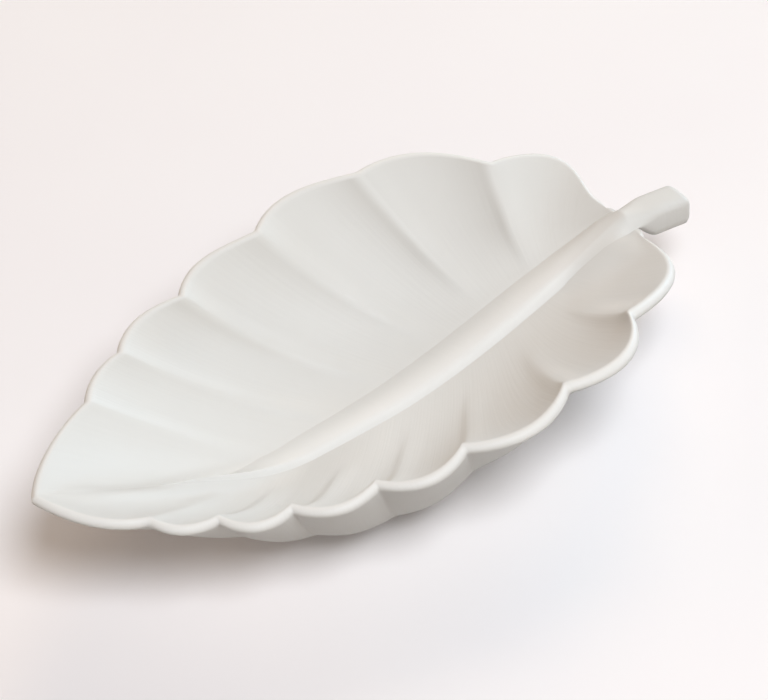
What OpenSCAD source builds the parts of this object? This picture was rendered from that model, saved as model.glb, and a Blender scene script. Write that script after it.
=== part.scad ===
// Leaf shaped serving plate in white glazed stoneware.
// A scalloped, dished blade is pressed over a mould, a tapered coil is laid along it as the midrib and
// runs out over the base as the stem, and an oval foot ring is luted under the belly.
// Millimetres. +X runs from the tip to the stem, +Y to the left lobes, +Z up. The origin is on the table
// under the middle of the plate's box.

/* [Leaf] */
// Length of the blade, from the stem's seat to the tip of the mid-lip line
leaf_l = 243.5; // [170:0.5:300]
// Width of the blade across the notches of the rim
leaf_w = 125; // [90:1:170]
// Thickness of the clay wall, and so the diameter of the round lip
wall = 4.6; // [3:0.1:8]
// Thickness of the clay wall at the tip, where it is drawn out thinner
tip_wall = 3.7; // [2.5:0.1:8]
// Mean height of the lip's centre line above the table
rim_h = 45.5; // [36:0.5:70]
// Height of the slow wave of the rim, up at the shoulders and the tip and down at the waist
rim_wave = 3.8; // [0:0.1:8]
// How far the rim dips where the stem crosses it
stem_dip = 10; // [0:0.5:14]
// How far the rim lifts at the tip, less than 0 to let it down
tip_lift = 1; // [-6:0.5:12]
// Sideways bow of the midrib, towards the right lobes
bow = 3; // [0:0.5:8]
// How full the dish is inside, half way along: 1 is a plain V, larger has a flatter floor and steeper sides
fullness = 3.2; // [1.8:0.1:5]
// How full the belly is outside, half way along
belly = 7.5; // [1.8:0.1:8]
// How full the dish is at the stem, inside and outside
end_fullness = 1.7; // [1.3:0.1:3]
// How full the dish is at the tip, where it flares
tip_fullness = 1.1; // [0.8:0.05:2]
// Length over which the floor rises to the tip
tip_run = 104; // [60:1:130]

/* [Lobes and veins] */
// How far a middling lobe stands out past its two notches
lobe_depth = 5; // [2:0.1:8]
// How far each left lobe stands out, in middling lobes, from the stem to the tip
left_lobes = [2.3, 0.84, 1.16, 1.08, 1.04, 0.56, 0.36]; // [0:0.02:4]
// How far each right lobe stands out, in middling lobes, from the stem to the tip
right_lobes = [1, 1.6, 1.44, 1.3, 1.1, 1.1, 0.8, 0.6]; // [0:0.02:4]
// How far each left notch stands out past the plain outline, in middling lobes, less than 0 for a deeper notch
left_notches = [-0.12, 0.52, 0.1, 0, 0.44, -0.1]; // [-2:0.02:2]
// How far each right notch stands out past the plain outline, in middling lobes, less than 0 for a deeper notch
right_notches = [-1, 0, 0, 0, 0, 0, 0]; // [-2:0.02:2]
// How far each left lobe leans towards the tip: 1 is even
left_leans = [1.5, 1.45, 1.45, 1.35, 1, 0.9, 1]; // [0.8:0.05:2]
// How narrow the necks beside the stem are, on the left and on the right
necks = [2, 0.9]; // [0:0.1:3]
// How fast the lobes' hollows fade from the rim to the midrib
lobe_fade = 2.8; // [1:0.1:4]
// Where the left side veins meet the rim, in degrees round the outline from the stem to the tip
left_veins = [36, 63.5, 85.5, 103.5, 119, 132.5]; // [10:0.5:170]
// Where the right side veins meet the rim, in degrees round the outline from the stem to the tip
right_veins = [45, 69, 89, 103.5, 117, 129, 141.5]; // [10:0.5:170]
// Where the left side veins leave the midrib, as shares of the lines from the stem to the tip
left_roots = [0.14, 0.29, 0.43, 0.57, 0.71, 0.86]; // [0:0.01:1]
// Where the right side veins leave the midrib, as shares of the lines from the stem to the tip
right_roots = [0.15, 0.28, 0.43, 0.59, 0.74, 0.87, 0.93]; // [0:0.01:1]
// How straight the left side veins are: 1 is straight, 0 curves them all the way to the tip
left_straight = 0.45; // [0:0.05:1]
// How straight the right side veins are
right_straight = 0.9; // [0:0.05:1]

/* [Midrib and stem] */
// Width of the midrib's coil where the stem leaves the blade
stem_w = 12.8; // [8:0.1:18]
// Width of the midrib's coil at the tip
rib_tip_w = 4.5; // [3:0.1:8]
// Height of the coil above the blade at the stem
rib_h = 3.8; // [2:0.1:7]
// Height of the coil above the blade at the tip
rib_tip_h = 0.9; // [0.5:0.1:3]
// Gap between the coil and the lip on either side of it, at the seat
lip_gap = 0.4; // [0.1:0.1:3]
// Length of the stem beyond its seat
stem_l = 27; // [15:0.5:50]
// Depth of the stem below the level of its seat
stem_d = 9.5; // [3:0.1:12]
// Slope of the stem where it leaves the blade, rise over run
stem_rise = -0.1; // [-0.4:0.02:0.4]
// How far the stem's end droops below its seat
stem_droop = 3.7; // [0:0.1:12]
// Radius that rounds off the stem's end
end_round = 2.6; // [0.5:0.1:4]

/* [Foot] */
// Length of the foot ring
foot_l = 104; // [60:1:130]
// Width of the foot ring
foot_w = 54; // [30:1:70]
// Width of the ring's wall
foot_t = 5; // [3:0.5:9]
// How far the ring's middle lies behind the lowest point of the midrib, towards the tip
foot_back = 4; // [0:0.5:12]
// Gap between the belly and the table, inside the ring
belly_gap = 3; // [1.5:0.5:10]

/* [Hidden] */
total_l = leaf_l + stem_l + tip_wall / 2;   // tip of the lip to the end of the stem
x_seat = total_l / 2 - stem_l;              // plane where the stem's step meets the blade
x_tip = x_seat - leaf_l;                    // tip of the mid-lip line
half_seat = stem_w / 2 + wall / 2 + lip_gap;// half width of the blade at that plane, to the lip's centre
floor_z = belly_gap + wall / 2;             // middle of the wall at the lowest point of the midrib
x_low = x_seat - 0.445 * leaf_l;            // lowest point of the midrib
seat_z = rim_h - rim_wave - stem_dip;       // middle of the wall at the stem's seat
tip_z = rim_h + rim_wave + tip_lift;        // middle of the wall at the tip
root_end = 0.14 * leaf_l;                   // the tip's own vein starts this far before the tip
out_n = 1.1;                                // roundness of the outline at the base
out_m = 0.46;                               // roundness of the outline at the tip
lobes_l = len(left_veins) + 1;
lobes_r = len(right_veins) + 1;
N = 2 * lobes_l * lobes_r;                  // lines from the midrib to the rim, on each side
top_count = 9;                              // bands of the upper face, the first under the coil
lip_count = 4;                              // steps round the lip
under_count = 7;                            // bands of the lower face
K = top_count + lip_count + under_count;    // points of a line, less one
arch_count = 4;                             // steps of half the coil's arch
stem_count = 12;                            // steps along the stem
foot_x = x_low - foot_back;                 // middle of the foot ring
clay = "#e9e7e2";

function unit(a) = a / norm(a);
function clamp(a, lo, hi) = min(hi, max(lo, a));

// Outline of one half of the leaf through its notches, by an angle of 0 at the stem and 180 at the tip
function bare(a) = pow(max(sin(a), 0), out_n) * pow(max(cos(a / 2), 0), out_m);
bare_max = max([for (a = [0 : 2 : 180]) bare(a)]);
function outline(a) = [
    x_seat - leaf_l * (1 - cos(a)) / 2,
    half_seat * (1 + cos(a)) / 2 + (leaf_w / 2) * bare(a) / bare_max];
function outward(a) = let (b = clamp(a, 1.2, 178.5), d = outline(b + 1) - outline(b - 1)) unit([d[1], -d[0]]);
function rim_z(a) = rim_h - rim_wave * cos(3 * a) - stem_dip * pow(cos(a / 2), 16) + tip_lift * pow(sin(a / 2), 16);

// Lobes: every line t of a side, from 0 at the stem to 1 at the tip, lies at a share f of lobe j
function ends(s) = concat([0], s > 0 ? left_veins : right_veins, [180]);
function starts(s) = concat([0], [for (r = s > 0 ? left_roots : right_roots) round(r * N) / N], [1]);
left_starts = starts(1);
right_starts = starts(-1);
function start(s, j) = s > 0 ? left_starts[j] : right_starts[j];
function lobe(s, t) = let (n = len(ends(s)) - 1) min(len([for (j = [1 : n]) if (start(s, j) <= t + 1e-6) j]), n - 1);
function share(s, t) = let (j = lobe(s, t)) clamp((t - start(s, j)) / (start(s, j + 1) - start(s, j)), 0, 1);
function angle(s, t) = let (e = ends(s), j = lobe(s, t)) e[j] + (e[j + 1] - e[j]) * share(s, t);
function notch(s, j) = let (e = concat([0], s > 0 ? left_notches : right_notches, [0])) e[j];
function bulge(s, t, v) = let (j = lobe(s, t), f = share(s, t), last = len(ends(s)) - 2)
    lobe_depth * ((s > 0 ? left_lobes : right_lobes)[j]
        * pow(max(sin(180 * pow(f, s > 0 ? left_leans[j] : 1)), 0), 1.8 - 0.95 * v + (j == 0 ? necks[s > 0 ? 0 : 1] * (1 - f) : 0))
        * (j == last ? 2.2 * pow(1 - f, 2) : 1)
    + notch(s, j) + (notch(s, j + 1) - notch(s, j)) * f) * pow(v, lobe_fade);
function rim(s, t, k = 1, v = 1) = let (a = angle(s, t), p = outline(a) + outward(a) * bulge(s, t, v) * k)
    [p[0], s * (t >= 1 ? 0 : p[1]), rim_z(a)];

// Midrib: the foot of line t, close together towards the stem so that the veins sweep forward, with longer steps at both ends
function spread(t) = 0.1 * (1 - pow(1 - t, 20)) + 0.48 * t + 0.24 * t * t + 0.18 * pow(t, 12);
function root_x(t) = x_seat - (leaf_l - root_end) * spread(t);
function sweep(u) = u * u * (3 - 2 * u);
function root_z(x) = x > x_low
    ? floor_z + (seat_z - floor_z) * pow((x - x_low) / (x_seat - x_low), 1.75)
    : floor_z + (tip_z - floor_z) * sweep(0.87 * clamp(1 - (x - x_tip) / tip_run, 0, 1)) / sweep(0.87);
function root_y(x) = -bow * pow(sin(180 * clamp((x_seat - x) / leaf_l, 0, 1)), 2);
function root(t) = let (x = root_x(t)) [x, root_y(x), root_z(x)];
function root_up(t) = let (x = root_x(t), g = t <= 0 ? 0 : (root_z(x + 0.5) - root_z(x - 0.5))) unit([-g, 0, 1]);

// Fullness falls away from the middle of the plate to its ends
function middle(t) = exp(-pow((t - 0.59) / 0.25, 2));
function full(t) = end_fullness + (fullness - end_fullness) * middle(t)
    + (tip_fullness - end_fullness) * pow(max(2 * t - 1, 0), 4);
function full_under(t, v) = full(t) + max(belly - fullness, 0) * middle(t) * (1 - pow(v, 8));
// Middle of the wall, from the midrib at v = 0 to the lip's centre at v = 1
function straight(s, t) = let (b = s > 0 ? left_straight : right_straight) b + (1 - b) * pow(t, 8);
function wall_at(t) = wall + (tip_wall - wall) * t * t;
function mid(s, t, v, k = 1, p = 0) = let (m = root(t), r = rim(s, t, k, v), b = straight(s, t), c = b * v + (1 - b) * v * v)
    [m[0] + (r[0] - m[0]) * c, m[1] + (r[1] - m[1]) * v, m[2] + (r[2] - m[2]) * pow(v, p == 0 ? full(t) : p)];
// Upward normal of the wall without its lobes, kept in the seat's plane at the stem and upright by the midrib
function up(s, t, v, p = 0) = v <= 0 ? root_up(t) : let (
    h = 0.004, t0 = clamp(t - h, 0, 1), t1 = clamp(t + h, 0, 1), w = min(v, 0.98),
    a = mid(s, t1, w, 0, p) - mid(s, t0, w, 0, p), b = mid(s, t, w + 0.02, 0, p) - mid(s, t, w - 0.02, 0, p),
    n = unit(cross(a, b) * (cross(a, b)[2] < 0 ? -1 : 1)),
    q = [n[0] * min(1, t * N / 6), n[1] * min(1, (1 - t) * N / 4) * min(1, pow(v / 0.4, 2)), n[2]]) unit(q);
function out(s, t) = let (d = mid(s, t, 1, 0) - mid(s, t, 0.9, 0))
    unit([t <= 0 ? 0 : d[0], t >= 1 ? 0 : d[1], d[2]]);

// Shares of a line where its points lie: the first band is the coil's half width
function coil_half(t) = (stem_w + (rib_tip_w - stem_w) * pow(spread(t), 1.4)) / 2;
function coil_h(t) = rib_h + (rib_tip_h - rib_h) * pow(spread(t), 0.8);
function edge(s, t) = let (r = rim(s, t, 0) - root(t)) min(0.8, coil_half(t) / max(abs(r[1]), 0.6 * norm([r[0], r[1]])));
function top_v(s, t, k) = k == 0 ? 0 : let (e = edge(s, t)) e + (1 - e) * (k - 1) / (top_count - 1);

// Point k of line i: up the upper face, round the lip and back under the blade
function leaf_pt(s, i, k) = let (t = i / N)
    k <= top_count ? let (v = top_v(s, t, k)) mid(s, t, v) + up(s, t, v) * wall_at(t) / 2
    : k < top_count + lip_count ? let (a = 180 * (k - top_count) / lip_count)
        mid(s, t, 1) + (up(s, t, 1) * cos(a) + out(s, t) * sin(a)) * wall_at(t) / 2
    : let (v = (K - k) / under_count, p = full_under(t, v)) mid(s, t, v, 1, p) - up(s, t, v, p) * wall_at(t) / 2;

// Vertex numbers: the two faces' points on the midrib and the tip's line belong to both sides
L = K - 1;
function vid(s, i, k) = k == 0 ? i : k == K ? N + 1 + i
    : i == N ? 2 * (N + 1) + 2 * N * L + k - 1
    : 2 * (N + 1) + ((s > 0 ? 0 : N) + i) * L + k - 1;
leaf_pts = concat(
    [for (i = [0 : N]) leaf_pt(1, i, 0)],
    [for (i = [0 : N]) leaf_pt(1, i, K)],
    [for (s = [1, -1], i = [0 : N - 1], k = [1 : L]) leaf_pt(s, i, k)],
    [for (k = [1 : L]) leaf_pt(1, N, k)]);
// Two triangles of a cell, turned so that both sides face outwards
function cell(s, a, b, c, d) = s > 0 ? [[c, b, a], [d, c, a]] : [[a, b, c], [a, c, d]];
function band(s, i, k) = let (a = vid(s, i, k), b = vid(s, i, k + 1), c = vid(s, i + 1, k + 1), d = vid(s, i + 1, k))
    k == 0 ? cell(s, b, c, d, a) : cell(s, a, b, c, d);
function flat(l) = [for (a = l, b = a) b];
// Flat face at the stem's seat, across the end of the wall
function seat_tri(s, a, b, c) = s > 0 ? [vid(s, 0, a), vid(s, 0, b), vid(s, 0, c)] : [vid(s, 0, c), vid(s, 0, b), vid(s, 0, a)];
seat_face = flat([for (s = [1, -1]) concat(
    [for (j = [0 : under_count - 1]) seat_tri(s, j, j + 1, K - j - 1)],
    [for (j = [0 : under_count - 1]) seat_tri(s, j, K - j - 1, K - j)],
    [for (k = [under_count : top_count + lip_count - 2]) seat_tri(s, top_count + lip_count, k, k + 1)])]);

module leaf_solid() {
    polyhedron(points = leaf_pts, faces = concat(
        flat([for (s = [1, -1], i = [0 : N - 1], k = [0 : K - 1]) band(s, i, k)]),
        seat_face), convexity = 6);
}

module leaf_blade() {
    color(clay) leaf_solid();
}

// Coil: rows of its arch over the blade, from the left edge to the right one, and its seat on the midrib
function seat(s, i, k) = leaf_pts[vid(s, i, k)];
function arch(i, m) = let (q = (m - arch_count) / arch_count, c = seat(1, i, 0), e = seat(q < 0 ? 1 : -1, i, 1))
    c + (e - c) * abs(q) + [0, 0, coil_h(i / N) * (1 - q * q)];
// Stem: sections across X on a path that rises from the seat and droops to its end, with a rounded end
stem_z0 = seat(1, 0, 0)[2];
function stem_path(x) = stem_z0 + stem_rise * x - (stem_rise * stem_l + stem_droop) * x * x / (stem_l * stem_l);
function box_y(a) = sign(cos(a)) * pow(abs(cos(a)), 2 / 4);
function box_z(a) = pow(abs(sin(a)), 2 / 4);
end_r = min(end_round, stem_w / 4, stem_l / 4);
function stem_x(j) = j <= stem_count - 4 ? (stem_l - end_r) * j / (stem_count - 4) : stem_l - end_r + end_r * sin(90 * (j - stem_count + 4) / 4);
function stem_in(j) = j <= stem_count - 4 ? 0 : end_r * (1 - cos(90 * (j - stem_count + 4) / 4)) * 0.9;
// Point m of section j: over the top from left to right, then back under it
function stem_pt(j, m) = let (
    x = stem_x(j), c = stem_in(j), half = stem_w / 2 - c, f = min(1, j / 4), over = m <= 2 * arch_count,
    a = 180 * (over ? m / (2 * arch_count) : (m - 2 * arch_count) / (2 * arch_count)),
    q = (m - arch_count) / arch_count,
    round_pt = over ? [half * box_y(a), box_z(a) * (rib_h - c)] : [-half * box_y(a), -box_z(a) * (stem_d - c)],
    arch_pt = over ? [-half * q, rib_h * (1 - q * q)] : round_pt,
    p = arch_pt + (round_pt - arch_pt) * f)
    [x_seat + x, p[0] + seat(1, 0, 0)[1], stem_path(x) + p[1]];

// Vertex numbers of the coil: arch rows 0 to N - 1, the nose, the seat's points, then the stem's sections
A = 2 * arch_count + 1;
S = 4 * arch_count;
nose = N * A;
function arch_id(i, m) = i * A + m;
function seat_id(i) = nose + 1 + i;
function stem_id(j, m) = let (n = m % S)
    j == 0 && n < A ? arch_id(0, n)
    : j == 0 ? nose + 2 + N + n - A
    : nose + 2 + N + (S - A) + (j - 1) * S + n;
coil_pts = concat(
    [for (i = [0 : N - 1], m = [0 : A - 1]) arch(i, m)],
    [seat(1, N, 1)],
    [for (i = [0 : N]) seat(1, i, 0)],
    [for (m = [A : S - 1]) stem_pt(0, m)],
    [for (j = [1 : stem_count], m = [0 : S - 1]) stem_pt(j, m)]);
coil_faces = concat(
    flat([for (i = [0 : N - 2], m = [0 : A - 2]) cell(1, arch_id(i, m), arch_id(i + 1, m), arch_id(i + 1, m + 1), arch_id(i, m + 1))]),
    [for (m = [0 : A - 2]) [arch_id(N - 1, m + 1), nose, arch_id(N - 1, m)]],
    flat([for (i = [0 : N - 2]) [
        [seat_id(i + 1), seat_id(i), arch_id(i, 0)], [arch_id(i + 1, 0), seat_id(i + 1), arch_id(i, 0)],
        [seat_id(i), seat_id(i + 1), arch_id(i, A - 1)], [seat_id(i + 1), arch_id(i + 1, A - 1), arch_id(i, A - 1)]]]),
    [[seat_id(N), seat_id(N - 1), arch_id(N - 1, 0)], [nose, seat_id(N), arch_id(N - 1, 0)],
     [seat_id(N - 1), seat_id(N), arch_id(N - 1, A - 1)], [seat_id(N), nose, arch_id(N - 1, A - 1)]],
    [for (m = [A - 1 : S - 1]) [seat_id(0), stem_id(0, m), stem_id(0, m + 1)]],
    flat([for (j = [0 : stem_count - 1], m = [0 : S - 1]) cell(-1, stem_id(j, m), stem_id(j + 1, m), stem_id(j + 1, m + 1), stem_id(j, m + 1))]),
    [[for (m = [S - 1 : -1 : 0]) stem_id(stem_count, m)]]);

module midrib_stem() {
    color(clay) polyhedron(points = coil_pts, faces = coil_faces, convexity = 6);
}

// Room under the belly round the foot, down past the table, as a grid of the wall's lower points
reach = 22;
foot_near = max([for (i = [0 : N]) if (root_x(i / N) > foot_x + foot_l / 2 + reach) i]);
foot_far = min([for (i = [0 : N]) if (root_x(i / N) < foot_x - foot_l / 2 - reach / 4) i]);
foot_count = 5;
function under(i, c) = leaf_pts[vid(c < foot_count ? 1 : -1, i, K - abs(c - foot_count))];
UC = 2 * foot_count + 1;
UR = foot_far - foot_near + 1;
module under_belly() {
    function id(r, c) = r * UC + c;
    function low(r, h) = UR * UC + r * 3 + h;
    function quad(a, b, c, d) = [[a, b, c], [a, c, d]];
    // Closing wall across row r, from its points down to the three low ones
    function wall_tris(r) = concat(
        [for (c = [0 : UC - 2]) [id(r, c + 1), id(r, c), low(r, c < foot_count ? 0 : 2)]],
        [[low(r, 1), id(r, foot_count), low(r, 0)], [id(r, foot_count), low(r, 1), low(r, 2)]]);
    function turned(l) = [for (t = l) [t[2], t[1], t[0]]];
    pts = concat(
        [for (r = [0 : UR - 1], c = [0 : UC - 1]) under(foot_near + r, c)],
        [for (r = [0 : UR - 1], h = [0 : 2]) let (p = under(foot_near + r, h * foot_count)) [p[0], p[1], -1]]);
    polyhedron(points = pts, faces = concat(
        flat([for (r = [0 : UR - 2], c = [0 : UC - 2]) c < foot_count
            ? quad(id(r, c), id(r, c + 1), id(r + 1, c + 1), id(r + 1, c))
            : [[id(r, c + 1), id(r + 1, c + 1), id(r, c)], [id(r + 1, c + 1), id(r + 1, c), id(r, c)]]]),
        flat([for (r = [0 : UR - 2], h = [0, 1]) quad(low(r, h), low(r + 1, h), low(r + 1, h + 1), low(r, h + 1))]),
        flat([for (r = [0 : UR - 2]) concat(
            quad(id(r, 0), id(r + 1, 0), low(r + 1, 0), low(r, 0)),
            quad(id(r + 1, 2 * foot_count), id(r, 2 * foot_count), low(r, 2), low(r + 1, 2)))]),
        wall_tris(0), turned(wall_tris(UR - 1))), convexity = 6);
}

module oval(l, w) {
    translate([-(l - w) / 2, 0]) circle(d = w, $fn = 96);
    translate([(l - w) / 2, 0]) circle(d = w, $fn = 96);
    square([l - w, w], center = true);
}

module foot_ring() {
    color(clay) intersection() {
        translate([foot_x, 0, 0]) linear_extrude(rim_h) difference() {
            oval(foot_l, foot_w);
            oval(foot_l - 2 * foot_t, foot_w - 2 * foot_t);
        }
        under_belly();
    }
}

leaf_blade();
midrib_stem();
foot_ring();
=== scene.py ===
# %% [markdown]
# # A leaf shaped plate in white glazed stoneware
# The packed solids give the size and place of everything: a dished leaf blade, a midrib that runs out
# as a stem, and a foot ring under the belly. This script loads them as a fixed frame, lays a smooth
# glazed blade and midrib over the faceted ones, gives each piece its finish, and lights the plate on a
# pale table.

# %% Load the frame
import math
import bmesh
import bpy
import numpy as np
from mathutils import Matrix, Vector


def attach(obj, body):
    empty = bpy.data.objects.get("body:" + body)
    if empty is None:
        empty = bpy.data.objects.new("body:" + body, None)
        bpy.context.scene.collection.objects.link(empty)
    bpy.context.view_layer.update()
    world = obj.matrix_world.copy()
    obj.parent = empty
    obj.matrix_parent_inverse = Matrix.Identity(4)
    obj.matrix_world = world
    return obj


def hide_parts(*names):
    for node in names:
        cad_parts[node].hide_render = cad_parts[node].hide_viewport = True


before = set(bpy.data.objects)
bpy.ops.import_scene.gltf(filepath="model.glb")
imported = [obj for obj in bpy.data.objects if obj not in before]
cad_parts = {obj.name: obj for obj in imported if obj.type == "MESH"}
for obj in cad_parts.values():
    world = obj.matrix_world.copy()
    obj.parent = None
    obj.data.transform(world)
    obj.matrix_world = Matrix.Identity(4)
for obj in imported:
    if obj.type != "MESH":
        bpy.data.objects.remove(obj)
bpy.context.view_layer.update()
scene = bpy.context.scene
scene.view_settings.view_transform = "Standard"

# %% [markdown]
# ## The leaf's outline
# A leaf is easiest to draw as half an outline that runs from the stem to the tip, once for each side.
# One smooth curve goes through the notches of the rim, and every lobe swells out past it between two
# veins. The sizes are those of the solids, in millimetres, and the last step turns them into metres.

# %% Sizes of the leaf
LEAF_L, LEAF_W, WALL, TIP_WALL = 243.5, 125.0, 4.6, 3.7
RIM_H, RIM_WAVE, STEM_DIP, TIP_LIFT, BOW = 45.5, 3.8, 10.0, 1.0, 3.0
FULLNESS, BELLY, STEM_FULL, TIP_FULL, TIP_RUN = 3.2, 7.5, 1.7, 1.1, 104.0
LOBE_DEPTH, NECK = 5.0, {1: 2.0, -1: 0.9}
LOBES = {1: [2.3, 0.84, 1.16, 1.08, 1.04, 0.56, 0.36], -1: [1, 1.6, 1.44, 1.3, 1.1, 1.1, 0.8, 0.6]}
VEINS = {1: [36, 63.5, 85.5, 103.5, 119, 132.5], -1: [45, 69, 89, 103.5, 117, 129, 141.5]}
STARTS = {1: [16, 32, 48, 64, 80, 96], -1: [17, 31, 48, 66, 83, 97, 104]}
MIDDLE, MIDDLE_RUN = 0.59, 0.25
NOTCHES = {1: [0, -0.12, 0.52, 0.1, 0, 0.44, -0.1, 0], -1: [0, -1, 0, 0, 0, 0, 0, 0, 0]}
LEANS = {1: [1.5, 1.45, 1.45, 1.35, 1, 0.9, 1], -1: [1] * 8}
LOBE_FADE, VEIN_STRAIGHT = 2.8, {1: 0.45, -1: 0.9}
STEM_W, RIB_TIP_W, RIB_H, RIB_TIP_H = 12.8, 4.5, 3.8, 0.9
STEM_L, STEM_D, STEM_RISE, STEM_DROOP = 27.0, 9.5, -0.1, 3.7
BELLY_GAP, LIP_GAP, LOW_SHARE = 3.0, 0.4, 0.445
SOLID_LINES = 112

X_SEAT = (LEAF_L + STEM_L + TIP_WALL / 2) / 2 - STEM_L
X_TIP = X_SEAT - LEAF_L
X_LOW = X_SEAT - LOW_SHARE * LEAF_L
HALF_SEAT = STEM_W / 2 + WALL / 2 + LIP_GAP
FLOOR_Z = BELLY_GAP + WALL / 2
SEAT_Z = RIM_H - RIM_WAVE - STEM_DIP
TIP_Z = RIM_H + RIM_WAVE + TIP_LIFT
print(f"leaf from x {X_TIP:.1f} to {X_SEAT:.1f} mm, floor at {FLOOR_Z:.1f} mm")

# %% Outline through the notches
def sin_d(a): return np.sin(np.radians(a))
def cos_d(a): return np.cos(np.radians(a))

def bare(a):
    return np.maximum(sin_d(a), 0) ** 1.1 * np.maximum(cos_d(a / 2), 0) ** 0.46

WIDEST = bare(np.arange(0.0, 181.0, 2.0)).max()

def outline(a):
    return np.stack([X_SEAT - LEAF_L * (1 - cos_d(a)) / 2,
                     HALF_SEAT * (1 + cos_d(a)) / 2 + LEAF_W / 2 * bare(a) / WIDEST], -1)

def outward(a):
    b = np.clip(a, 1.2, 178.5)
    d = outline(b + 1) - outline(b - 1)
    return np.stack([d[..., 1], -d[..., 0]], -1) / np.linalg.norm(d, axis=-1)[..., None]

def rim_height(a):
    return (RIM_H - RIM_WAVE * cos_d(3 * a) - STEM_DIP * np.maximum(cos_d(a / 2), 0) ** 16
            + TIP_LIFT * np.maximum(sin_d(a / 2), 0) ** 16)

print("half width at the notches", round(float(outline(np.array(80.0))[1]), 1), "mm")

# %% Lobes between the veins
def lobe_place(side, t):
    """Number of the lobe, share of the way across it, and angle round the outline."""
    ends = np.array([0.0, *VEINS[side], 180.0])
    starts = np.array([0, *STARTS[side], SOLID_LINES]) / SOLID_LINES
    j = np.clip(np.searchsorted(starts, t + 1e-6, side="right") - 1, 0, len(starts) - 2)
    f = np.clip((t - starts[j]) / (starts[j + 1] - starts[j]), 0, 1)
    return j, f, ends[j] + (ends[j + 1] - ends[j]) * f

def bulge(side, t, v):
    j, f, _ = lobe_place(side, t)
    last = len(LOBES[side]) - 1
    power = 1.8 - 0.95 * v + np.where(j == 0, NECK[side] * (1 - f), 0)
    end = np.where(j == last, 2.2 * (1 - f) ** 2, 1)
    lean = f ** np.array(LEANS[side])[j]
    swell = np.array(LOBES[side])[j] * np.maximum(sin_d(180 * lean), 0) ** power * end
    notch = np.array(NOTCHES[side], float)
    return LOBE_DEPTH * (swell + notch[j] + (notch[j + 1] - notch[j]) * f) * v ** LOBE_FADE

def rim(side, t, v=1.0, lobed=1.0):
    a = lobe_place(side, t)[2]
    p = outline(a) + outward(a) * (bulge(side, t, v) * lobed)[..., None]
    return np.stack([p[..., 0], side * np.where(t >= 1, 0, p[..., 1]), rim_height(a) + 0 * v], -1)

print("lobes", {side: len(LOBES[side]) for side in LOBES})

# %% [markdown]
# ## The dish
# Lines run from the midrib to the rim, and each line is lifted by a power of its own length: a low
# power gives a plain V, a high one a flat floor and steep sides. The upper and the lower face use
# different powers, so the belly is fuller than the hollow. The wall's thickness goes along the
# surface's upward normal, and a half circle joins the two faces as the lip.

# %% Midrib line
ROOT_SHARE, TIP_CURVE = 0.86, 0.87

def spread(t):
    return 0.1 * (1 - (1 - t) ** 20) + 0.48 * t + 0.24 * t ** 2 + 0.18 * t ** 12

def sweep(u): return u * u * (3 - 2 * u)
def step(x, start, run): return sweep(np.clip((x - start) / run, 0, 1))

def root_height(x):
    to_stem = np.clip((x - X_LOW) / (X_SEAT - X_LOW), 0, 1) ** 1.75
    to_tip = sweep(TIP_CURVE * np.clip(1 - (x - X_TIP) / TIP_RUN, 0, 1)) / sweep(TIP_CURVE)
    return FLOOR_Z + np.where(x > X_LOW, (SEAT_Z - FLOOR_Z) * to_stem, (TIP_Z - FLOOR_Z) * to_tip)

def root(t):
    x = X_SEAT - ROOT_SHARE * LEAF_L * spread(t)
    bow = -BOW * sin_d(180 * np.clip((X_SEAT - x) / LEAF_L, 0, 1)) ** 2
    return np.stack([x, bow, root_height(x)], -1)

print("floor at mid length", root_height(np.array([X_LOW])), "mm")

# %% Wall
def wall_half(t): return (WALL + (TIP_WALL - WALL) * t ** 2)[..., None] / 2

def unit(a): return a / np.maximum(np.linalg.norm(a, axis=-1), 1e-9)[..., None]

def middle(t): return np.exp(-((t - MIDDLE) / MIDDLE_RUN) ** 2)

def fullness(t):
    return (STEM_FULL + (FULLNESS - STEM_FULL) * middle(t)
            + (TIP_FULL - STEM_FULL) * np.maximum(2 * t - 1, 0) ** 4)

def under_fullness(t, v):
    return fullness(t) + (BELLY - FULLNESS) * middle(t) * (1 - v ** 8)

def wall_middle(side, t, v, power, lobed=1.0):
    m, r = root(t), rim(side, t, v, lobed)
    straight = VEIN_STRAIGHT[side] + (1 - VEIN_STRAIGHT[side]) * t ** 8
    c = straight * v + (1 - straight) * v * v
    return m + (r - m) * np.stack([c, v, v ** power], -1)

def wall_up(side, t, v, power):
    """Upward normal of the wall without its lobes, upright by the midrib."""
    w = np.clip(v, 0.02, 0.98)
    t0, t1 = np.clip(t - 0.004, 0, 1), np.clip(t + 0.004, 0, 1)
    along = wall_middle(side, t1, w, power, 0.0) - wall_middle(side, t0, w, power, 0.0)
    across = wall_middle(side, t, w + 0.02, power, 0.0) - wall_middle(side, t, w - 0.02, power, 0.0)
    n = np.cross(along, across)
    n = unit(n * np.where(n[..., 2:] < 0, -1, 1))
    level = unit(np.stack([across[..., 2], 0 * t, -across[..., 0]], -1))
    to_tip = np.clip((1 - t) * SOLID_LINES / 4, 0, 1)[..., None]
    n = np.where((t > 0.9)[..., None], level + (n - level) * to_tip, n)
    rise = root(t1) - root(t0)
    plumb = unit(np.stack([rise[..., 2], 0 * t, -rise[..., 0]], -1))
    n = plumb + (n - plumb) * np.clip(v / 0.06, 0, 1)[..., None]
    tame = np.stack([np.minimum(1, t * SOLID_LINES / 6),
                     np.minimum(1, (1 - t) * SOLID_LINES / 4) * np.minimum(1, (v / 0.4) ** 2),
                     0 * t + 1], -1)
    return unit(n * tame)

def wall_out(side, t):
    edge, before = (wall_middle(side, t, 0 * t + v, fullness(t), 0.0) for v in (1, 0.9))
    return unit((edge - before) * np.stack([t > 0, t < 1, t > -1], -1))

print("fullness of the hollow at its middle", fullness(np.array([MIDDLE])))

# %% Faces and lip
LIP_FLAT = 0.95

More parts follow.
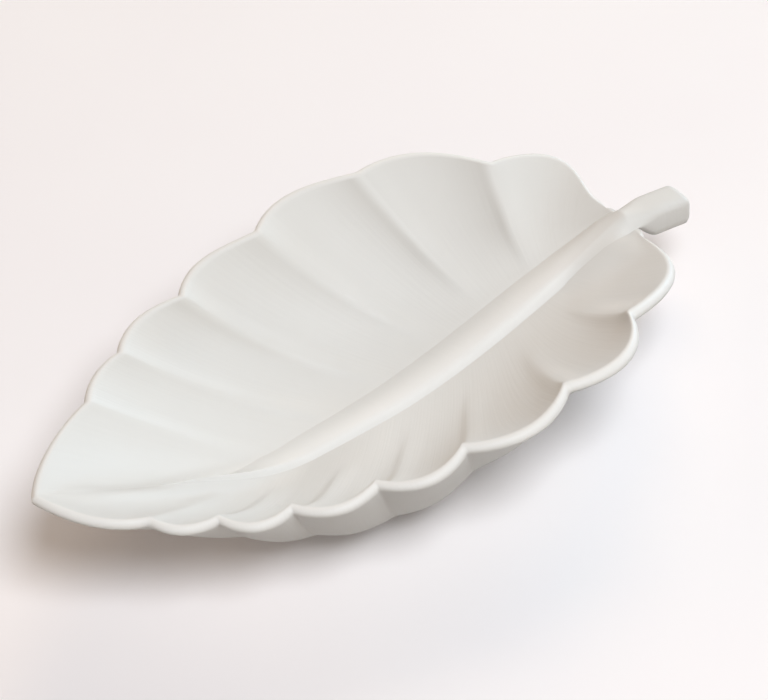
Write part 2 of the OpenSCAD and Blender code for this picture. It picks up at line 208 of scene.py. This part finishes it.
def upper_face(side, t, v):
    p = fullness(t)
    return wall_middle(side, t, v, p) + wall_up(side, t, v, p) * wall_half(t)

def lower_face(side, t, v):
    p = under_fullness(t, v)
    return wall_middle(side, t, v, p) - wall_up(side, t, v, p) * wall_half(t)

def lip(side, t, turn):
    one = 0 * t + 1
    up = wall_up(side, t, one, fullness(t))
    around = up * cos_d(turn)[..., None] + wall_out(side, t) * LIP_FLAT * sin_d(turn)[..., None]
    return wall_middle(side, t, one, fullness(t)) + around * wall_half(t)

def coil_half(t): return (STEM_W + (RIB_TIP_W - STEM_W) * spread(t) ** 1.4) / 2
def coil_height(t): return RIB_H + (RIB_TIP_H - RIB_H) * np.maximum(spread(t), 0) ** 0.8

def coil_share(side, t, wide=1.0):
    """Share of a line that lies under the midrib."""
    r = rim(side, t, 1.0 + 0 * t, 0.0) - root(t)
    reach = np.maximum(np.abs(r[..., 1]), 0.6 * np.linalg.norm(r[..., :2], axis=-1))
    return np.minimum(0.8, wide * coil_half(t) / reach)

print("wall", WALL, "mm, lip", WALL / 2, "mm in radius")

# %% [markdown]
# Towards the tip the two halves of the hollow meet in a pinched crease, which glaze and a potter's thumb
# would have rubbed away. So near the middle line each height is swapped for that of a plane fitted to
# the hollow round it, with nearer points counting more, and further out nothing changes. A low ridge
# carries the midrib on to the tip, and a fillet joins it to the first right lobe beside the stem.

# %% Rubbed trough near the tip
RUB = 5.0
TIP_T, TIP_V = np.meshgrid(np.linspace(0.7, 1, 46), np.linspace(0, 1, 31), indexing="ij")
samples, weights = [], []
for side in (1, -1):
    p = upper_face(side, TIP_T, TIP_V)
    dt, dv = np.gradient(p, axis=0), np.gradient(p, axis=1)
    samples.append(p.reshape(-1, 3))
    weights.append(np.abs(dt[..., 0] * dv[..., 1] - dt[..., 1] * dv[..., 0]).ravel())
samples, weights = np.concatenate(samples), np.concatenate(weights)

def rubbed(x, y):
    """Height at x, y of a plane fitted to the samples round it."""
    one, sx, sy, sz = np.ones(len(samples)), samples[:, 0], samples[:, 1], samples[:, 2]
    near = weights * np.exp(-((sx - x[:, None]) ** 2 + (sy - y[:, None]) ** 2) / (2 * RUB ** 2))
    sums = near @ np.stack([one, sx, sy, sx * sx, sx * sy, sy * sy, sz, sx * sz, sy * sz], -1)
    matrix = sums[:, [0, 1, 2, 1, 3, 4, 2, 4, 5]].reshape(-1, 3, 3)
    plane = np.linalg.solve(matrix, sums[:, 6:, None])[..., 0]
    return plane[:, 0] + plane[:, 1] * x + plane[:, 2] * y

print("samples of the hollow near the tip", len(samples))

# %% Hollow with the ridge to the tip
RUN_OUT_H, RUN_OUT_Y, RUN_OUT_W = 0.9, -3.2, 3.2

def hollow(side, t, v):
    """Upper face with the trough near the tip rubbed smooth and the midrib's ridge carried on."""
    p = upper_face(side, t, v)
    x, y = p[:, 0], p[:, 1]
    share = (1 - step(x, -98, 36)) * (1 - step(np.abs(y + 1), 5, 11)) * (1 - step(v, 0.7, 0.26))
    here = share > 0
    p[here, 2] += share[here] * (rubbed(x[here], y[here]) - p[here, 2])
    run_out = (1 - step(x, -78, 30)) * step(x, -130, 25)
    p[:, 2] += RUN_OUT_H * run_out * np.exp(-((y - RUN_OUT_Y) / RUN_OUT_W) ** 2)
    return p

print("ridge near the tip", RUN_OUT_H, "mm high")

# %% Painted shade in the valley, and the fillet beside the midrib
VALLEY_X, VALLEY_Y = [-125, -108, -96, -76, -60], [3.5, 1.0, 1.0, 4.8, 5.8]
# Strength and width of the painted shade in the valley, and the fillet's share of the rib's height
VALLEY_SHADE_SHARE, VALLEY_W, FILLET_SHARE = 0.3, 2.2, 0.85

def valley_shade(x, y):
    """Painted shade in the valley left of the midrib near the tip."""
    fade = (1 - step(x, -70, 40)) * step(x, -130, 20)
    return VALLEY_SHADE_SHARE * fade * np.exp(-((y - np.interp(x, VALLEY_X, VALLEY_Y)) / VALLEY_W) ** 2)

def fillet(t, v):
    """Height of the fillet that joins the midrib to the first right lobe beside the stem."""
    e = coil_share(-1, t)
    gap = np.clip((v - 0.6 * e) / np.minimum(2.6 * e, 0.92 - 0.6 * e), 0, 1)
    beside = step(t, 0, 0.03) * (1 - step(t, 0.03, 0.10))
    return FILLET_SHARE * RIB_H * beside * (1 - sweep(gap))

print("fillet", FILLET_SHARE * RIB_H, "mm high")

# %% [markdown]
# ## A sheet wrapped round the section
# A grid is one of Blender's plainest shapes. Here its rows run from the stem to the tip and its columns
# go once round the wall: from the middle of the belly up over one lip, across the hollow and down over
# the other lip. Every point of the flat grid is then moved to its place on the leaf, and the edges
# that meet are welded, so the sheet becomes a closed wall with even, smooth quads.

# %% Grid helper
def wrapped_grid(rows, columns, place):
    """A grid of rows by columns, with each point moved to place(row, column) in millimetres."""
    bm = bmesh.new()
    bm.loops.layers.uv.new("across")
    bmesh.ops.create_grid(bm, x_segments=rows, y_segments=columns, size=1.0, calc_uvs=True)
    flat = np.array([v.co for v in bm.verts])
    row = np.rint((flat[:, 0] + 1) / 2 * rows).astype(int)
    column = np.rint((flat[:, 1] + 1) / 2 * columns).astype(int)
    assert len(bm.verts) == (rows + 1) * (columns + 1), len(bm.verts)
    points, thin, pool = place(row, column)
    # Each point keeps its share of painted highlight and of painted shade
    highlight_layer = bm.verts.layers.float.new("thin")
    shade_layer = bm.verts.layers.float.new("pool")
    for v, p, a, b in zip(bm.verts, points / 1000, thin, pool):
        v.co = p
        v[highlight_layer], v[shade_layer] = a, b
    bmesh.ops.remove_doubles(bm, verts=bm.verts, dist=2e-6)
    bmesh.ops.dissolve_degenerate(bm, edges=bm.edges, dist=1e-6)
    bmesh.ops.recalc_face_normals(bm, faces=bm.faces)
    return bm

def piece(bm, name, sharp=None):
    """Turn a bmesh into an object that rides on the plate."""
    for f in bm.faces:
        f.smooth = True
    if sharp is not None:
        for e in bm.edges:
            e.smooth = e.calc_face_angle(0.0) < math.radians(sharp)
    mesh = bpy.data.meshes.new(name)
    bm.to_mesh(mesh)
    open_edges = sum(len(e.link_faces) != 2 for e in bm.edges)
    print(name, len(mesh.vertices), "points,", len(mesh.polygons), "faces,", open_edges, "open edges")
    bm.free()
    obj = bpy.data.objects.new(name, mesh)
    scene.collection.objects.link(obj)
    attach(obj, "root")
    return obj

print("helpers", wrapped_grid.__name__, "and", piece.__name__)

# %% [markdown]
# A low vein stands along each line that ends in a notch. A painted highlight lies on the stem's side of
# it and painted shade behind it, most beside the stem. Each is a height or a share for every point of
# the hollow.

# %% Veins, painted highlight and painted shade
VEIN_H, VEIN_TIP_RUN, VEIN_STEM_RUN = 0.8, 0.10, 0.20
# Painted highlight beside each vein, and painted shade behind each vein and near the midrib towards the
# tip
VEIN_SHINE = {1: [0.2] * 7, -1: [0.9, 0.6, 0.3, 0.3, 0.3, 0.3, 0.3, 0]}
VEIN_SHADES = {1: [0.5, 0.9, 0.75, 0.3, 0.35, 0.1, 0], -1: [0.35, 0.25, 0.1, 0, 0.1, 0.2, 0.2, 0]}
VEIN_SHADE_RUN = {1: [1, 0.45, 0.22, 0.25, 0.16, 0.2, 1], -1: [1, 0.3, 0.3, 0.2, 0.2, 0.2, 0.2, 1]}
VEIN_SHADE_START, LOW_SHADE = 0.12, 0.35

def vein_height(side, t, v):
    j, f, _ = lobe_place(side, t)
    last = len(LOBES[side]) - 1
    stem_side = np.where(j < last, np.exp(-((1 - f) / VEIN_STEM_RUN) ** 2), 0)
    tip_side = np.where(j > 0, np.exp(-(f / VEIN_TIP_RUN) ** 2), 0)
    fade = step(v, 0.20, 0.25) * (1 - step(v, 0.70, 0.28))
    return VEIN_H * np.minimum(tip_side + stem_side, 1) * fade

def vein_shine(side, t, v):
    j, f, _ = lobe_place(side, t)
    return np.array(VEIN_SHINE[side])[j] * np.exp(-((f - 0.9) / 0.09) ** 2) * step(v, 0.4, 0.35)

# Painted shade behind each vein, most beside the stem, and low on the right side towards the tip
def painted_hollow_shade(side, t, v):
    j, f, _ = lobe_place(side, t)
    run = np.array(VEIN_SHADE_RUN[side])[j]
    behind = step(f, 0, VEIN_SHADE_START) * np.exp(-np.maximum(f - VEIN_SHADE_START, 0) / run)
    behind = np.where(j > 0, behind, (1 - f) ** 1.5)
    low = LOW_SHADE * step(t, 0.6, 0.2) * sweep(np.clip(1.2 - v * 2, 0, 1)) * (side < 0)
    return np.array(VEIN_SHADES[side])[j] * behind * step(v, 0.3, 0.35) + low

print("veins", {side: len(VEINS[side]) for side in VEINS}, "each", VEIN_H, "mm high")

# %% Half of the blade's section
COIL, HOLLOW, LIP, BELLY_STEPS = 8, 32, 10, 22
INSIDE = COIL + HOLLOW
HALF = INSIDE + LIP + BELLY_STEPS
# Share of painted shade on the fillet
FILLET_SHADE = 0.1

def half_section(side, t, k):
    """Points k steps from the midrib, with their painted highlight and their painted shade."""
    e = coil_share(side, t)
    v = np.where(k <= COIL, e * k / COIL, e + (1 - e) * np.clip((k - COIL) / HOLLOW, 0, 1))
    inside = k <= INSIDE
    top = hollow(side, t, np.clip(v, 0, 1))
    turn = 180 * np.clip((k - INSIDE) / LIP, 0, 1)
    under = lower_face(side, t, np.clip((HALF - k) / BELLY_STEPS, 0, 1))
    points = np.where(inside[:, None], top, lip(side, t, turn))
    points = np.where((k > INSIDE + LIP)[:, None], under, points)
    beside = fillet(t, v) if side < 0 else 0 * t
    points[:, 2] += np.where(inside, vein_height(side, t, v), 0)
    points[:, 2] += np.where(inside, beside, 0)
    # Painted highlight on the veins and the lip, painted shade behind the veins, in the valley and on
    # the fillet
    thin = np.maximum(np.where(inside, vein_shine(side, t, v), 0), np.maximum(0, sin_d(turn)))
    pool = np.where(inside, painted_hollow_shade(side, t, v) + valley_shade(*top[:, :2].T) + FILLET_SHADE * beside, 0)
    return points, thin, pool

print("steps from the midrib to the middle of the belly", HALF)

# %% Blade
END_ROWS, LINES = 14, 336
END_REACH, END_CORE = 2.5, 0.45

def blade_points(row, column):
    side = np.where(column >= HALF, 1, -1)
    k = np.abs(column - HALF).astype(float)
    t = np.clip((row - END_ROWS) / LINES, 0, 1)
    points, thin, pool = np.zeros((len(row), 3)), np.zeros(len(row)), np.zeros(len(row))
    for s in (1, -1):
        here = side == s
        points[here], thin[here], pool[here] = half_section(s, t[here], k[here])
    # The wall's end beside the stem is rounded off into the stem
    ahead = np.clip((END_ROWS - row) / END_ROWS, 0, 1)
    centre = np.array([X_SEAT, 0, SEAT_Z])
    shrink = np.where(ahead > 0, np.sqrt(np.maximum(1 - ahead ** 2, 0)), 1)[:, None]
    ended = centre + (points - centre) * (END_CORE + (1 - END_CORE) * shrink)
    ended = ended + np.outer(END_REACH * ahead, [1, 0, 0])
    points = np.where((ahead > 0)[:, None], ended, points)
    points[ahead >= 1] = centre + [END_REACH, 0, 0]
    return points, thin, pool

bm = wrapped_grid(LINES + END_ROWS, 2 * HALF, blade_points)
print("blade", len(bm.verts), "points before softening")

# %% [markdown]
# The glaze melts in the kiln and softens every edge, so the mesh gets a light smoothing.

# %% Softening
SOFT_PASSES, SOFT_FACTOR = 2, 0.4
for _ in range(SOFT_PASSES):
    bmesh.ops.smooth_vert(bm, verts=bm.verts, factor=SOFT_FACTOR,
                          use_axis_x=True, use_axis_y=True, use_axis_z=True)
blade = piece(bm, "glazed_blade")
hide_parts("leaf_blade")

# %% [markdown]
# ## Midrib and stem
# On the real plate one tapered coil of clay lies along the blade and runs out over the rim as the stem.
# Its left flank is long and rises from a crease, and its right flank is short and runs into the first
# lobe beside the stem. A second wrapped grid makes it: along the blade its section is an arch on a
# hidden bed, and past the rim the arch turns into the rounded box of the stem.

# %% Coil along the blade
ARCH, BED, ALONG, STEM_ROWS = 28, 12, 220, 34
FLANK, FLANK_PEAK, FLANK_TIP = 7.5, 0.75, 4.0
NEAR_CUT, CREST_SHIFT, BED_DEPTH = 0.45, 0.3, 1.2
TABLE = np.linspace(0, 1, 2001)

def coil_on_blade(row, q, over):
    """Points of the coil on the blade, for q from -1 at the left foot to 1 at the right one."""
    u = np.clip(row / ALONG, 0, 1)
    t = np.interp(1 - u, spread(TABLE), TABLE)
    w, narrow, ease = spread(t), coil_half(t), step(t, -0.01, 0.11)
    half = {1: STEM_W / 2 + FLANK * sin_d(180 * w ** FLANK_PEAK) - FLANK_TIP * w ** 2,
            -1: narrow * (1 - NEAR_CUT * ease)}
    points = np.zeros((len(row), 3))
    for s in (1, -1):
        here = np.where(q < 0, 1, -1) == s
        v = np.abs(q[here]) * coil_share(s, t[here], half[s][here] / narrow[here])
        points[here] = hollow(s, t[here], v)
    # The crest lies left of the middle line, with a long left flank and a short right one
    shift = CREST_SHIFT * ease * narrow
    off = np.where(q < 0, q * half[1], q * half[-1]) + shift
    out = np.clip(np.where(off < 0, -off / (half[1] - shift), off / (half[-1] + shift)), 0, 1)
    arc = (1 - out ** 2) ** np.where(off < 0, 1.0 + 0.15 * ease, 1.0 + 0.5 * ease)
    sink = 0.04 + 0.6 * (1 - step(u, 0, 0.12))
    crest = coil_height(t) * step(u, 0, 0.2) ** 0.7
    right_base = fillet(t, np.abs(q) * coil_share(-1, t, half[-1] / narrow))
    base = np.where(q > 0, right_base, fillet(t, 0 * t) * sweep(1 + q))
    points[:, 2] += np.where(over, base + (crest - base) * arc - sink, -BED_DEPTH * (1 - q ** 6) - sink)
    # A painted highlight runs along the crest, and painted shade lies in the valley near the tip
    thin = np.where(over, sweep(1 - out) * ease * (0.3 + 0.7 * step(u, 0.08, 0.35)), 0)
    return points, thin, np.where(over, valley_shade(*points[:, :2].T), 0)

print("coil", ALONG, "rows on the blade,", STEM_ROWS, "on the stem")

# %% Stem
# The last value darkens the top of the stem with painted shade
STEM_ROUND, STEM_SQUARE, STEM_TURN, STEM_TOP_SHADE = 2.6, 0.55, 12.0, 0.4
stem_base = float(upper_face(1, np.zeros(1), np.zeros(1))[0, 2])

def coil_points(row, column):
    m = np.where(column == ARCH + BED, 0, column)
    over, past = m <= ARCH, row > ALONG
    q = np.where(over, 2 * m / ARCH - 1, 1 - 2 * (m - ARCH) / BED)
    points, thin, pool = coil_on_blade(row, q, over)
    # Past the seat the section turns into the rounded box of the stem
    x = STEM_L * np.clip((row - ALONG) / STEM_ROWS, 0, 1)
    near_end = np.clip((x - STEM_L + STEM_ROUND) / STEM_ROUND, 0, 1)
    inset = STEM_ROUND * (1 - np.sqrt(1 - near_end ** 2)) * 0.9
    a = np.where(over, 180 * m / ARCH, 180 * (m - ARCH) / BED)
    box_y = np.sign(cos_d(a)) * np.abs(cos_d(a)) ** STEM_SQUARE
    box_z = np.abs(sin_d(a)) ** STEM_SQUARE
    level = stem_base + STEM_RISE * x - (STEM_RISE * STEM_L + STEM_DROOP) * x * x / STEM_L ** 2
    boxed = np.stack([X_SEAT + x, np.where(over, 1, -1) * (STEM_W / 2 - inset) * box_y,
                      level + box_z * np.where(over, RIB_H - inset, -(STEM_D - inset))], -1)
    arch = points + np.stack([x, 0 * x, level - stem_base], -1)
    turn = step(x, 0, STEM_TURN)
    points = np.where(past[:, None], arch + (boxed - arch) * turn[:, None], points)
    # Painted shade on the top of the stem, and a painted highlight on its rounded end
    top = STEM_TOP_SHADE * turn * (1 - near_end) * over * (1 - box_y ** 4)
    return points, np.where(past, near_end, thin), np.where(past, top, pool)

bm = wrapped_grid(ALONG + STEM_ROWS, ARCH + BED, coil_points)
print("coil", len(bm.verts), "points, stem", STEM_L, "mm long")

# %% Ends of the coil
CAP_INSET = 0.0012
ends = [e for e in bm.edges if len(e.link_faces) == 1]
bmesh.ops.holes_fill(bm, edges=ends, sides=0)
stem_caps = [f for f in bm.faces if len(f.verts) > 4 and f.calc_center_median().x > 0]
bmesh.ops.inset_region(bm, faces=stem_caps, thickness=CAP_INSET, depth=0.0)
bmesh.ops.recalc_face_normals(bm, faces=bm.faces)
highlight_layer, shade_layer = (bm.verts.layers.float[name] for name in ("thin", "pool"))
# The stem's end face gets the full painted highlight and no painted shade
for v in bm.verts:
    if v.co.x > (X_SEAT + STEM_L) / 1000 - 2e-4:
        v[highlight_layer], v[shade_layer] = 1, 0
midrib = piece(bm, "glazed_midrib", sharp=50)
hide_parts("midrib_stem")

# %% [markdown]
# ## Finishes
# Shader maths reads best as plain sums, so one small class wraps a number that the shader works out and
# turns Python's operators into Math nodes. Any other node comes from one method that takes its type,
# its settings and its sockets.

# %% Numbers in a shader
class Number:
    """A number that changes over a surface."""
    def __init__(self, finish, socket):
        self.finish, self.socket = finish, socket

    def math(self, operation, *values):
        return self.finish.node("ShaderNodeMath", {"operation": operation}, dict(enumerate(values)))

    def __add__(self, other): return self.math("ADD", self, other)
    __radd__ = __add__
    def __sub__(self, other): return self.math("SUBTRACT", self, other)
    def __rsub__(self, other): return self.math("SUBTRACT", other, self)
    def __mul__(self, other): return self.math("MULTIPLY", self, other)
    __rmul__ = __mul__

print("operators", [name for name in vars(Number) if name.startswith("__r")], "and their plain forms")

# %% Finish helper
class Finish:
    """A material, or a world, built from nodes."""
    def __init__(self, owner):
        self.owner = owner
        owner.use_nodes = True
        self.tree = owner.node_tree
        self.tree.nodes.clear()

    def node(self, kind, settings=None, sockets=None, out=0):
        made = self.tree.nodes.new(kind)
        for key, value in (settings or {}).items():
            if key == "stops":
                ramp = made.color_ramp
                while len(ramp.elements) < len(value):
                    ramp.elements.new(0.5)
                for element, (place, colour) in zip(ramp.elements, value):
                    element.position, element.color = place, colour
            else:
                setattr(made, key, value)
        for key, value in (sockets or {}).items():
            if isinstance(value, Number):
                self.tree.links.new(value.socket, made.inputs[key])
            else:
                made.inputs[key].default_value = value
        return Number(self, made.outputs[out]) if made.outputs else None

    def close(self, shader, kind="ShaderNodeOutputMaterial"):
        self.node(kind, None, {"Surface": shader})
        print("finish", self.owner.name, len(self.tree.nodes), "nodes")
        return self.owner

    def noise(self, place, scale, detail, **more):
        sockets = {"Vector": place, "Scale": scale, "Detail": detail, **more}
        return self.node("ShaderNodeTexNoise", None, sockets, out="Fac")

    def mix(self, share, first, second):
        return self.node("ShaderNodeMix", {"data_type": "RGBA"}, {0: share, 6: first, 7: second}, out=2)

    def rise(self, value, low, high):
        sockets = {"Value": value, "From Min": low, "From Max": high}
        return self.node("ShaderNodeMapRange", {"interpolation_type": "SMOOTHSTEP"}, sockets)

    def seen_rays(self):
        rays = ("Is Camera Ray", "Is Glossy Ray", "Is Transmission Ray")
        return sum([self.node("ShaderNodeLightPath", out=ray) for ray in rays])

print("finish helper", [name for name in vars(Finish) if not name.startswith("__")])

# %% [markdown]
# The glaze is a white satin coat. A painted highlight makes it paler over the lip, the veins, the top of
# the midrib and the stem's end. Painted shade makes it darker behind each vein, in the valley near the
# tip, on the fillet and on top of the stem. The glaze keeps faint brushed streaks that run with the
# veins. Two soft noises make the slight waviness and the fine pitting of a fired surface.

# %% White glaze
GLAZE_STOPS = [(0.0, (0.692, 0.686, 0.662, 1)), (0.25, (0.725, 0.721, 0.70, 1)),
               (1.0, (0.85, 0.845, 0.825, 1))]
# Colour of the painted shade, and how far it darkens the glaze
PAINTED_SHADE_COLOUR, PAINTED_SHADE_SHARE = (0.46, 0.435, 0.40, 1), 0.62

def glaze_nodes(fin):
    place = fin.node("ShaderNodeTexCoord", out="Object")
    thin, pool = (fin.node("ShaderNodeAttribute", {"attribute_name": name}, out="Fac")
                  for name in ("thin", "pool"))
    cloud = fin.noise(place, 14.0, 3.0, Roughness=0.55)
    # The painted highlight makes the glaze paler and the painted shade makes it darker
    colour = fin.node("ShaderNodeValToRGB", {"stops": GLAZE_STOPS}, {"Fac": cloud * 0.35 + thin * 0.65})
    return place, thin, cloud, fin.mix(pool * PAINTED_SHADE_SHARE, colour, PAINTED_SHADE_COLOUR)

def white_glaze(name):
    fin = Finish(bpy.data.materials.new(name))
    place, thin, cloud, colour = glaze_nodes(fin)
    along = fin.node("ShaderNodeUVMap", {"uv_map": "across"}, out="UV")
    brushed = fin.node("ShaderNodeMapping", None, {"Vector": along, "Scale": (150.0, 5.0, 1.0)})
    streak = fin.noise(brushed, 1.0, 2.0, Roughness=0.5)
    wave, pit = fin.noise(place, 60.0, 2.0), fin.noise(place, 900.0, 1.0)
    height = streak * 0.5 + wave * 0.6 + pit * 0.05
    bump = fin.node("ShaderNodeBump", None, {"Height": height, "Strength": 0.25, "Distance": 0.0006},
                    out="Normal")
    rough = 0.44 + cloud * 0.10 - thin * 0.05
    shader = fin.node("ShaderNodeBsdfPrincipled", None, {
        "Base Color": colour, "Roughness": rough, "Normal": bump, "IOR": 1.5,
        "Specular IOR Level": 0.32})
    return fin.close(shader)

glaze = white_glaze("white_glaze")
for obj in (blade, midrib):
    obj.data.materials.append(glaze)

# %% [markdown]
# The foot ring keeps its solid. Its sides are dipped in the same glaze, and the standing face is wiped
# bare before firing so that it doesn't stick to the kiln shelf. A wavering line a little above the table
# parts the two.

# %% Dry foot
DRY_STOPS = [(0.3, (0.52, 0.45, 0.36, 1)), (0.7, (0.66, 0.60, 0.50, 1))]
WIPE_LOW, WIPE_HIGH, WAVER = 0.0014, 0.0019, 0.0012

def wiped_foot(name):
    fin = Finish(bpy.data.materials.new(name))
    place, _, cloud, colour = glaze_nodes(fin)
    height = fin.node("ShaderNodeSeparateXYZ", None, {"Vector": place}, out="Z")
    glazed = fin.rise(height + fin.noise(place, 90.0, 2.0) * WAVER, WIPE_LOW, WIPE_HIGH)
    grain = fin.noise(place, 1400.0, 3.0)
    clay = fin.node("ShaderNodeValToRGB", {"stops": DRY_STOPS}, {"Fac": grain})
    mixed = fin.mix(glazed, clay, colour)
    rough_clay = grain * (1 - glazed) + cloud * 0.3
    bump = fin.node("ShaderNodeBump", None, {"Height": rough_clay, "Strength": 0.3, "Distance": 0.0003},
                    out="Normal")
    shader = fin.node("ShaderNodeBsdfPrincipled", None, {
        "Base Color": mixed, "Roughness": 0.85 - glazed * 0.45, "Normal": bump,
        "Specular IOR Level": 0.4})
    return fin.close(shader)

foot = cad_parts["foot_ring"]
foot.data.materials.clear()
foot.data.materials.append(wiped_foot("wiped_foot"))

# %% [markdown]
# ## Table, light and camera
# The plate stands on a pale table that fills the picture. The main light is a wide one, high in front. A
# cool one on the right and two warm ones behind give each shadow its own tint, and a faint warm glow
# from the front of the room fills the rest.

# %% Table
TABLE_STOPS = [(0.3, (0.86, 0.828, 0.84, 1)), (0.7, (0.885, 0.862, 0.87, 1))]
NEAR_GLOW, FAR_GLOW = (0.082, 0.082, 0.085, 1), (0.46, 0.44, 0.45, 1)
GLOW_START, TABLE_SIZE = 0.5, 2.5

def table_finish():
    fin = Finish(bpy.data.materials.new("pale_table"))
    place = fin.node("ShaderNodeTexCoord", out="Object")
    mottle = fin.noise(place, 5.0, 3.0)
    colour = fin.node("ShaderNodeValToRGB", {"stops": TABLE_STOPS}, {"Fac": mottle})
    # Far from the plate, where no lamp reaches, the table glows as pale as the room behind it
    distance = fin.node("ShaderNodeVectorMath", {"operation": "LENGTH"}, {0: place}, out="Value")
    glow = fin.mix(fin.rise(distance, GLOW_START, TABLE_SIZE), NEAR_GLOW, FAR_GLOW)
    seen = fin.node("ShaderNodeBsdfPrincipled", None, {
        "Base Color": colour, "Roughness": 0.7, "Specular IOR Level": 0.2,
        "Emission Color": glow, "Emission Strength": 1.0})
    unseen = fin.node("ShaderNodeBsdfDiffuse", None, {"Color": (0.5, 0.48, 0.47, 1)})
    shader = fin.node("ShaderNodeMixShader", None, {0: fin.seen_rays(), 1: unseen, 2: seen})
    return fin.close(shader)

bm = bmesh.new()
bmesh.ops.create_grid(bm, x_segments=8, y_segments=8, size=TABLE_SIZE)
floor_mesh = bpy.data.meshes.new("table_top")
bm.to_mesh(floor_mesh)
bm.free()
floor = bpy.data.objects.new("table_top", floor_mesh)
scene.collection.objects.link(floor)
floor.data.materials.append(table_finish())

# %% Light
LAMP_SIZE, AIM = 1.1, Vector((0, 0, 0.02))

def soft_light(name, place, power, colour):
    lamp = bpy.data.lights.new(name, "AREA")
    lamp.shape, lamp.size, lamp.energy, lamp.color = "DISK", LAMP_SIZE, power, colour
    obj = bpy.data.objects.new(name, lamp)
    scene.collection.objects.link(obj)
    obj.location = place
    obj.rotation_euler = (AIM - Vector(place)).to_track_quat("-Z", "Y").to_euler()
    print(name, "at", place, power, "W")
    return obj

soft_light("front_light", (0.0, -1.05, 1.82), 34.5, (0.93, 0.96, 1.0))
soft_light("right_light", (1.88, 0.68, 0.65), 15.5, (0.55, 0.81, 1.0))
soft_light("back_light", (1.2, 1.2, 1.23), 12.0, (1.0, 0.75, 0.52))
soft_light("warm_light", (-1.4, 1.4, 0.72), 7.5, (1.0, 0.67, 0.42))

# %% Room
ROOM_GLOW, ROOM_SEEN = (0.55, 0.47, 0.37, 1), (0.9, 0.87, 0.88, 1)

def room():
    fin = Finish(bpy.data.worlds.new("pale_room"))
    way = fin.node("ShaderNodeTexCoord", out="Generated")
    front = fin.node("ShaderNodeSeparateXYZ", None, {"Vector": way}, out="Y") * -1.0
    colour = fin.mix(front, (0, 0, 0, 1), ROOM_GLOW)
    lit = fin.node("ShaderNodeBackground", None, {"Color": colour, "Strength": 1.0})
    seen = fin.node("ShaderNodeBackground", None, {"Color": ROOM_SEEN, "Strength": 1.0})
    shader = fin.node("ShaderNodeMixShader", None, {0: fin.seen_rays(), 1: lit, 2: seen})
    return fin.close(shader, "ShaderNodeOutputWorld")

scene.world = room()

# %% Camera
TURN, ELEVATION, ROLL = (math.radians(angle) for angle in (30.814, 44.226, 6.32))
DISTANCE, FOCUS_PIXELS, PICTURE_PIXELS, SENSOR = 1.0, 2822.155, 768, 36.0
level, down = (math.sin(TURN), math.cos(TURN)), (math.cos(ELEVATION), math.sin(ELEVATION))
right = Vector((level[1], -level[0], 0))
ahead = Vector((level[0] * down[0], level[1] * down[0], -down[1]))
above = Vector((level[0] * down[1], level[1] * down[1], down[0]))
right, above = (right * math.cos(ROLL) - above * math.sin(ROLL),
                right * math.sin(ROLL) + above * math.cos(ROLL))
stand = -DISTANCE * ahead - Vector((0.0017, 0, -0.0025))
look = (ahead + 0.00126 * right + 0.02524 * above).normalized()
right = (right - right.dot(look) * look).normalized()
above = right.cross(look)
camera = bpy.data.objects.new("camera", bpy.data.cameras.new("camera"))
scene.collection.objects.link(camera)
camera.data.sensor_width = SENSOR
camera.data.lens = SENSOR * FOCUS_PIXELS / PICTURE_PIXELS
camera.data.clip_start, camera.data.clip_end = 0.05, 20.0
camera.matrix_world = Matrix(((right.x, above.x, -look.x, stand.x),
                              (right.y, above.y, -look.y, stand.y),
                              (right.z, above.z, -look.z, stand.z), (0, 0, 0, 1)))
scene.camera = camera
print("camera at", [round(c, 3) for c in stand], "lens", round(camera.data.lens, 1), "mm")

# %% Finish
bpy.context.view_layer.update()
